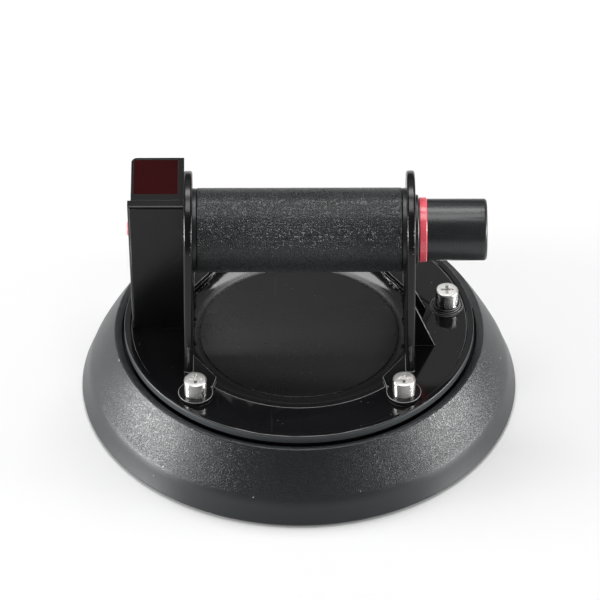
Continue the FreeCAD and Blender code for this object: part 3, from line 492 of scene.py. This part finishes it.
# Pale greys for the soft corner faces: a painted highlight along the edges.
edge_highlight_dark, edge_highlight_pale = (0.20, 0.20, 0.20), (0.34, 0.34, 0.34)
plate = merged_copy("base_plate", "deck_plate")
soften(plate, width=0.00025, clamp=False)
dress(plate, "base", make_plate_black(), "plate_gloss_black", "base_plate")
paint_corner_highlight(plate, make_painted_edge_highlight("painted plate edge highlight", edge_highlight_dark, edge_highlight_pale, rough=0.22))


# ---- Uprights ----
# Two black-coated side plates carry the handle. Each has a round head, tapering flanks and a thin
# foot with lobes for its bolts; the right one is braced by two small gussets.

def make_bracket_coat():
    """Black coating with fine scuffs and a little dust."""
    coat_black, coat_worn = (0.005, 0.005, 0.0055), (0.008, 0.008, 0.0085)
    scuff_grey, speck_grey = (0.03, 0.03, 0.032), (0.3, 0.3, 0.3)
    finish, tree, shader, place = new_finish("bracket coat")
    shader.inputs["Specular IOR Level"].default_value = 0.35
    cloud = place_group(tree, surface_mottle, place, Slow=40.0, Quick=1300.0)
    scuffs = place_group(tree, fine_scuffs, place, Amount=0.3)
    dust = place_group(tree, settled_dust, place, Specks_per_metre=330.0)
    colour = tint(tree, cloud["Slow"], coat_black, coat_worn)
    colour = tint(tree, scuffs["Scuffs"], colour, scuff_grey)
    colour = tint(tree, combine(tree, "MULTIPLY", dust["Specks"], 0.4), colour, speck_grey)
    dull = combine(tree, "ADD", spread(tree, cloud["Quick"], 0.16, 0.22), scuffs["Scuffs"])
    feed(tree, shader, colour, dull)
    add_bump(tree, shader, cloud["Quick"], distance=0.00003, strength=0.5)
    return finish


bracket_coat = make_bracket_coat()
# The bracket's corner faces carry a painted highlight along the edges.
bracket_edge_highlight = make_painted_edge_highlight("painted bracket edge highlight", edge_highlight_dark, edge_highlight_pale, rough=0.25)
for side in ("left", "right"):
    upright = merged_copy(side + "_upright", side + "_side_plate")
    soften(upright, width=0.00022, clamp=False)
    dress(upright, "base", bracket_coat, "bracket_black", side + "_upright")
    paint_corner_highlight(upright, bracket_edge_highlight)


# ---- Foot bolts ----
# Six cap screws with tall round heads and a pressed cross recess hold the uprights, the pod, the
# plate, the cup's web and the clamp plate together.

bolt_steel = make_metal("bolt steel", (0.88, 0.87, 0.85), (0.82, 0.81, 0.79), rough=0.28, turned=True)
bolts = merged_copy("foot_bolts", "foot_bolt_set")
soften(bolts, width=0.0001)
dress(bolts, "base", bolt_steel, "black_steel", "foot_bolts")


# ---- Pump barrel, grip, end rings and guide bush ----
# The handle is the pump: an aluminium barrel between the uprights, with a grained rubber sleeve that a
# narrow ring holds at each end, and a moulded bush at its right mouth that guides the plunger.

def make_grip_rubber():
    """Black rubber with a coarse pebbled grain, painted shade in its valleys, and dusty in places."""
    grip_black, grip_worn = (0.020, 0.023, 0.024), (0.028, 0.031, 0.033)
    valley_painted_shade, speck_grey = (0.008, 0.009, 0.009), (0.2, 0.2, 0.2)
    finish, tree, shader, place = new_finish("grip rubber")
    grain = place_group(tree, pebble_grain, place, Cells_per_metre=1100.0)
    cloud = place_group(tree, surface_mottle, place, Slow=45.0, Quick=1200.0)
    dust = place_group(tree, settled_dust, place, Specks_per_metre=420.0)
    colour = tint(tree, cloud["Slow"], grip_black, grip_worn)
    # Darker valleys here are painted shade in the hollows between pebbles.
    colour = tint(tree, combine(tree, "MULTIPLY", grain["Valleys"], 0.7), colour, valley_painted_shade)
    colour = tint(tree, combine(tree, "MULTIPLY", dust["Specks"], 0.35), colour, speck_grey)
    feed(tree, shader, colour, spread(tree, cloud["Quick"], 0.26, 0.32))
    add_bump(tree, shader, grain["Height"], distance=0.00018, strength=1.0)
    return finish


def make_moulded_plastic(name, base, pale, rough, grain=0.0):
    """Satin moulded plastic with a soft cloud, light rubbing and a fine texture."""
    finish, tree, shader, place = new_finish(name)
    cloud = place_group(tree, surface_mottle, place, Slow=60.0, Quick=1700.0)
    scuffs = place_group(tree, fine_scuffs, place, Amount=0.3)
    fine = place_group(tree, pebble_grain, place, Cells_per_metre=2600.0)
    rubbed = tuple(min(1.0, channel * 2.0 + 0.01) for channel in pale)
    colour = tint(tree, scuffs["Scuffs"], tint(tree, cloud["Slow"], base, pale), rubbed)
    feed(tree, shader, colour, spread(tree, cloud["Quick"], rough, rough + 0.1))
    relief = add_share(tree, cloud["Quick"], fine["Height"], grain)
    add_bump(tree, shader, relief, distance=0.00003, strength=0.5)
    return finish


turned_steps = 128
barrel_low, barrel_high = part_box("pump_cylinder")
handle_axis = (0.0, 0.0, (barrel_low[2] + barrel_high[2]) / 2)
barrel_radius, barrel_end = 0.0180, barrel_high[0]
sleeve_bore, sleeve_radius, sleeve_end = 0.0181, 0.0195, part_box("grip_sleeve")[1][0]
sleeve_chamfer = 0.0003
ring_radius, ring_round = 0.0193, 0.0005

coat(turned_aluminium, "pump_cylinder")

sleeve_profile = [
    (sleeve_bore, -sleeve_end), (sleeve_radius - sleeve_chamfer, -sleeve_end),
    (sleeve_radius, -sleeve_end + sleeve_chamfer), (sleeve_radius, sleeve_end - sleeve_chamfer),
    (sleeve_radius - sleeve_chamfer, sleeve_end), (sleeve_bore, sleeve_end)]
sleeve = spun("grip_sleeve_moulding", sleeve_profile, turned_steps, "X", handle_axis)
dress(sleeve, "base", make_grip_rubber(), "grip_rubber", "grip_sleeve")

bush_grey = make_moulded_plastic("bush moulding", (0.013, 0.014, 0.015), (0.019, 0.020, 0.021), rough=0.30)
for side, sign in (("left", -1), ("right", 1)):
    ring_corner = bow(
        (ring_radius, sign * (sleeve_end + ring_round)), (0.01915, sign * 0.04735),
        (ring_radius - ring_round, sign * sleeve_end), count=4)
    ring_profile = [(barrel_radius, sign * barrel_end), (ring_radius, sign * barrel_end), *ring_corner]
    ring_profile += [(barrel_radius, sign * sleeve_end)]
    ring = spun(side + "_end_collar", ring_profile, turned_steps, "X", handle_axis)
    dress(ring, "base", bush_grey, "bush_plastic", side + "_end_ring")

bush_bore, bush_radius, bush_neck_radius, bush_nose_radius = 0.0151, 0.0170, 0.0166, 0.0162
bush_start, bush_end = (corner[0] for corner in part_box("guide_bush"))
nose_length = 0.0017
neck_end = bush_end - nose_length
nose_chamfer, mouth_chamfer = 0.0004, 0.0002
bush_profile = [
    (bush_bore, bush_start), (bush_radius, bush_start), (bush_radius, barrel_end),
    (bush_neck_radius, barrel_end), (bush_neck_radius, neck_end), (bush_nose_radius, neck_end),
    (bush_nose_radius, bush_end - nose_chamfer), (bush_nose_radius - nose_chamfer, bush_end),
    (bush_bore + mouth_chamfer, bush_end), (bush_bore, bush_end - mouth_chamfer)]
bush = spun("guide_bush_moulding", bush_profile, turned_steps, "X", handle_axis)
dress(bush, "base", bush_grey, "bush_plastic", "guide_bush")


# ---- Cylinder head and valves ----
# A plastic head closes the barrel's left end. Two small rubber umbrella valves let air in from the
# cup and out beside the handle; three countersunk screws hold the head.

seal_rubber = make_moulded_plastic(
    "seal rubber", (0.012, 0.012, 0.012), (0.020, 0.020, 0.020), rough=0.5, grain=0.3)
black_oxide = make_metal("black oxide steel", (0.10, 0.10, 0.11), (0.06, 0.06, 0.065), rough=0.3)
coat(bush_grey, "cylinder_head")
coat(seal_rubber, "head_seal", "inlet_valve", "exhaust_valve")
coat(black_oxide, "head_screws")


# ---- Plunger ----
# The moving half of the pump: a satin tube with a rounded end cap that the thumb pushes in, and a
# red ring that shows when the cup needs pumping. A spring inside pushes it out again.

def make_plunger_satin():
    """Satin black plastic with faint drag marks along the stroke."""
    satin_black, satin_worn = (0.016, 0.018, 0.019), (0.022, 0.025, 0.026)
    drag_grey = (0.030, 0.032, 0.033)
    along_stroke, across_stroke = 25.0, 900.0
    finish, tree, shader, place = new_finish("plunger satin")
    cloud = place_group(tree, surface_mottle, place, Slow=70.0, Quick=1500.0)
    stretched = add_node(tree, "ShaderNodeMapping", Scale=(along_stroke, across_stroke, across_stroke))
    tree.links.new(place, stretched.inputs["Vector"])
    drag = noise(tree, stretched.outputs["Vector"], 1.0, detail=2.0)
    drag_mask = remap(tree, drag, 0.55, 0.75, 0.0, 0.25)
    colour = tint(tree, drag_mask, tint(tree, cloud["Slow"], satin_black, satin_worn), drag_grey)
    feed(tree, shader, colour, combine(tree, "ADD", spread(tree, cloud["Quick"], 0.26, 0.33), drag_mask))
    add_bump(tree, shader, cloud["Quick"], distance=0.00003, strength=0.5)
    return finish


def make_signal_red():
    """Clear-coated pinkish red plastic, lightly scuffed."""
    red, red_worn, scuff_pink = (0.90, 0.095, 0.135), (0.95, 0.130, 0.170), (0.8, 0.25, 0.27)
    finish, tree, shader, place = new_finish("signal red")
    shader.inputs["Coat Weight"].default_value = 0.3
    cloud = place_group(tree, surface_mottle, place, Slow=90.0, Quick=900.0)
    scuffs = place_group(tree, fine_scuffs, place, Amount=0.25)
    colour = tint(tree, scuffs["Scuffs"], tint(tree, cloud["Slow"], red, red_worn), scuff_pink)
    feed(tree, shader, colour, spread(tree, cloud["Quick"], 0.22, 0.32))
    add_bump(tree, shader, cloud["Quick"], distance=0.00002, strength=0.4)
    return finish


def make_coil_spring(node, name):
    """A wire spring: a merged copy of its CAD node in spring wire, with a mesh of its own."""
    spring = merged_copy(node, name)
    dress(spring, "base", spring_wire, "spring_steel", node)
    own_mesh(spring)


plunger_satin = make_plunger_satin()
signal_red = make_signal_red()
plunger_tube = merged_copy("plunger_body", "plunger_tube")
soften(plunger_tube, width=0.00008)
dress(plunger_tube, "plunger", plunger_satin, "plunger_grey", "plunger_body")

plunger_radius, plug_radius = 0.0143, 0.0120
plug_start, cap_end = (corner[0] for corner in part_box("plunger_cap"))
cap_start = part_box("plunger_body")[1][0]
cap_chamfer = 0.00005
cap_plug = [(0.0, plug_start), (plug_radius, plug_start), (plug_radius, cap_start)]
cap_flank = [(plunger_radius - cap_chamfer, cap_start), (plunger_radius, cap_start + cap_chamfer)]
cap_shoulder = bow((plunger_radius, 0.0850), (0.01386, 0.08606), (0.0128, cap_end), count=7)
cap_face = [(0.0110, 0.08645), (0.0105, 0.0863), (0.0, 0.0863)]
cap = spun(
    "plunger_end_cap", cap_plug + cap_flank + cap_shoulder + cap_face, turned_steps, "X", handle_axis,
    closed=False)
dress(cap, "plunger", plunger_satin, "plunger_grey", "plunger_cap")

band_bore, band_radius, band_chamfer = 0.0137, 0.0150, 0.0003
band_start, band_end = (corner[0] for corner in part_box("warning_ring"))
band_profile = [
    (band_bore, band_start), (band_radius - band_chamfer, band_start),
    (band_radius, band_start + band_chamfer), (band_radius, band_end - band_chamfer),
    (band_radius - band_chamfer, band_end), (band_bore, band_end)]
band = spun("vacuum_warning_band", band_profile, turned_steps, "X", handle_axis)
dress(band, "plunger", signal_red, "signal_red", "warning_ring")

spring_wire = make_metal("spring wire", (0.50, 0.50, 0.51), (0.38, 0.38, 0.40), rough=0.25)
make_coil_spring("plunger_spring", "plunger_return_coil")
coat(bush_grey, "piston")
coat(seal_rubber, "piston_seal")
coat(zinc_plate, "retaining_clip")


# ---- Instrument pod ----
# A two-part black housing beside the left upright: a front cover and a rear shell that is set in
# behind it. A dark red pane in its top covers the pressure display and its board and coin cell.

def make_pod_black():
    """Satin black plastic with a few scuffs and a little dust."""
    pod_black_deep, pod_worn = (0.0040, 0.0042, 0.0045), (0.0060, 0.0062, 0.0066)
    scuff_grey, speck_grey = (0.022, 0.022, 0.024), (0.3, 0.3, 0.3)
    finish, tree, shader, place = new_finish("pod black")
    shader.inputs["Specular IOR Level"].default_value = 0.3
    cloud = place_group(tree, surface_mottle, place, Slow=35.0, Quick=1500.0)
    scuffs = place_group(tree, fine_scuffs, place, Amount=0.25)
    dust = place_group(tree, settled_dust, place, Specks_per_metre=360.0)
    colour = tint(tree, cloud["Slow"], pod_black_deep, pod_worn)
    colour = tint(tree, scuffs["Scuffs"], colour, scuff_grey)
    colour = tint(tree, combine(tree, "MULTIPLY", dust["Specks"], 0.35), colour, speck_grey)
    feed(tree, shader, colour, spread(tree, cloud["Quick"], 0.20, 0.27))
    add_bump(tree, shader, cloud["Quick"], distance=0.00002, strength=0.4)
    return finish


def make_window_pane():
    """Dark red acrylic, nearly opaque, with a faintly wavy face."""
    red_dark, red_light = (0.026, 0.0009, 0.0015), (0.034, 0.0013, 0.0020)
    finish, tree, shader, place = new_finish("window pane")
    shader.inputs["IOR"].default_value = 1.49
    shader.inputs["Specular IOR Level"].default_value = 0.08
    cloud = place_group(tree, surface_mottle, place, Slow=50.0, Quick=700.0)
    colour = tint(tree, cloud["Slow"], red_dark, red_light)
    feed(tree, shader, colour, spread(tree, cloud["Quick"], 0.04, 0.08))
    add_bump(tree, shader, cloud["Slow"], distance=0.00005, strength=0.2)
    return finish


pod_black = make_pod_black()
# The pod's corner faces carry a painted highlight along the edges.
pod_edge_highlight = make_painted_edge_highlight("painted pod edge highlight", (0.025, 0.026, 0.028), (0.050, 0.051, 0.054), rough=0.28)
for node, name in (("pod_front_cover", "pod_cover"), ("pod_rear_shell", "pod_shell")):
    half = merged_copy(node, name)
    soften(half, width=0.0003)
    dress(half, "base", pod_black, "pod_black", node)
    paint_corner_highlight(half, pod_edge_highlight)

display_case = make_moulded_plastic("display case", (0.008, 0.008, 0.008), (0.014, 0.014, 0.014), rough=0.3)
board_green = make_moulded_plastic("board green", (0.012, 0.085, 0.030), (0.020, 0.120, 0.045), rough=0.35)
coat(black_oxide, "pod_screws")
coat(make_window_pane(), "display_window")
coat(display_case, "display_module", "pressure_sensor")
coat(board_green, "control_board")
coat(bush_grey, "battery_holder")
coat(zinc_plate, "battery_cell")


# ---- Air line and release button ----
# A soft hose runs from a brass fitting in the plate to the plastic manifold. The red button lifts a
# small rubber-faced poppet there and lets air back into the cup.

brass = make_metal("turned brass", (0.68, 0.48, 0.18), (0.52, 0.35, 0.12), rough=0.25)
hose_grey = make_moulded_plastic("hose grey", (0.30, 0.31, 0.32), (0.38, 0.39, 0.40), rough=0.4)
coat(brass, "port_fitting", "port_nut")
coat(hose_grey, "vacuum_hose")
coat(bush_grey, "manifold_block")
coat(seal_rubber, "valve_seal")
button = merged_copy("release_button", "release_push_button")
soften(button, width=0.0001)
dress(button, "button", signal_red, "signal_red", "release_button")
make_coil_spring("button_spring", "button_return_coil")


# ---- Studio ----
# A sheet of pale paper under soft lamps, and a long lens that looks down at the lifter.

def make_floor():
    """White paper: it takes the shadow near the object and goes to plain white further off."""
    mesh = bmesh.new()
    bmesh.ops.create_grid(mesh, x_segments=1, y_segments=1, size=3.0)
    floor = made_piece("studio_floor", mesh)
    finish, tree, shader, place = new_finish("floor paper")
    shader.inputs["Base Color"].default_value = (0.8, 0.8, 0.8, 1)
    shader.inputs["Roughness"].default_value = 0.9
    shader.inputs["Specular IOR Level"].default_value = 0.1
    shader.inputs["Emission Color"].default_value = (1, 1, 1, 1)
    reach = tree.nodes.new("ShaderNodeVectorMath")
    reach.operation = "LENGTH"
    tree.links.new(place, reach.inputs[0])
    shadow_reach, white_reach = 0.25, 0.9
    whiteness = remap(tree, reach.outputs["Value"], shadow_reach, white_reach, 0.05, 1.0, smooth=True)
    seen = tree.nodes.new("ShaderNodeLightPath")
    lift = combine(tree, "MULTIPLY", seen.outputs["Is Camera Ray"], whiteness)
    tree.links.new(lift, shader.inputs["Emission Strength"])
    floor.data.materials.append(finish)


def make_world():
    """White to the camera and through glass, dim in glossy black faces, a soft fill for the rest."""
    glossy_share, fill_share = 0.08, 0.20
    world = bpy.data.worlds.new("studio air")
    bpy.context.scene.world = world
    world.use_nodes = True
    tree = world.node_tree
    ray = tree.nodes.new("ShaderNodeLightPath").outputs
    seen = combine(tree, "MAXIMUM", ray["Is Camera Ray"], ray["Is Transmission Ray"])
    glossy = combine(tree, "MULTIPLY", ray["Is Glossy Ray"], glossy_share)
    dull = combine(tree, "SUBTRACT", 1.0, ray["Is Glossy Ray"])
    fill = combine(tree, "MULTIPLY", dull, fill_share)
    strength = combine(tree, "MAXIMUM", seen, combine(tree, "MAXIMUM", glossy, fill))
    background = tree.nodes["Background"].inputs
    tree.links.new(strength, background["Strength"])
    background["Color"].default_value = (1, 1, 1, 1)


def make_lamp(name, spot, width, depth, power):
    """A rectangular softbox in metres and watts, aimed at the middle of the lifter."""
    lamp = bpy.data.lights.new(name, "AREA")
    lamp.shape = "RECTANGLE"
    lamp.size = width
    lamp.size_y = depth
    lamp.energy = power
    holder = bpy.data.objects.new(name, lamp)
    bpy.context.scene.collection.objects.link(holder)
    holder.location = spot
    aim = Vector((0, 0, 0.05)) - Vector(spot)
    holder.rotation_euler = aim.to_track_quat("-Z", "Y").to_euler()


def make_camera():
    """A long lens that looks 40 degrees down, turned and rolled by a fraction of a degree."""
    lens = bpy.data.cameras.new("studio_camera")
    lens.lens = 386.5
    lens.sensor_width = 36.0
    lens.clip_end = 50.0
    camera = bpy.data.objects.new("studio_camera", lens)
    bpy.context.scene.collection.objects.link(camera)
    tilt, turn, roll = math.radians(39.92), math.radians(0.43), math.radians(0.14)
    target = Vector((0.0004, 0.0, 0.0512))
    distance = 3.0
    back = Vector((-math.sin(turn) * math.cos(tilt), -math.cos(turn) * math.cos(tilt), math.sin(tilt)))
    camera.location = target + distance * back
    level = back.to_track_quat("Z", "Y")
    camera.rotation_euler = (level @ Quaternion((0, 0, 1), roll)).to_euler()
    bpy.context.scene.camera = camera


make_floor()
make_world()
make_lamp("left_softbox", (-1.15, -0.14, 0.15), width=0.7, depth=0.26, power=21.0)
make_lamp("right_softbox", (1.15, -0.14, 0.15), width=0.7, depth=0.26, power=15.5)
make_lamp("top_softbox", (0.0, 0.55, 1.2), width=0.9, depth=0.36, power=7.5)
make_lamp("overhead_softbox", (0.0, -0.05, 1.35), width=0.8, depth=0.5, power=6.5)
make_lamp("rear_high_softbox", (0.0, 1.3, 1.25), width=1.8, depth=0.9, power=1.8)
make_camera()
bpy.context.scene.view_settings.view_transform = "Standard"
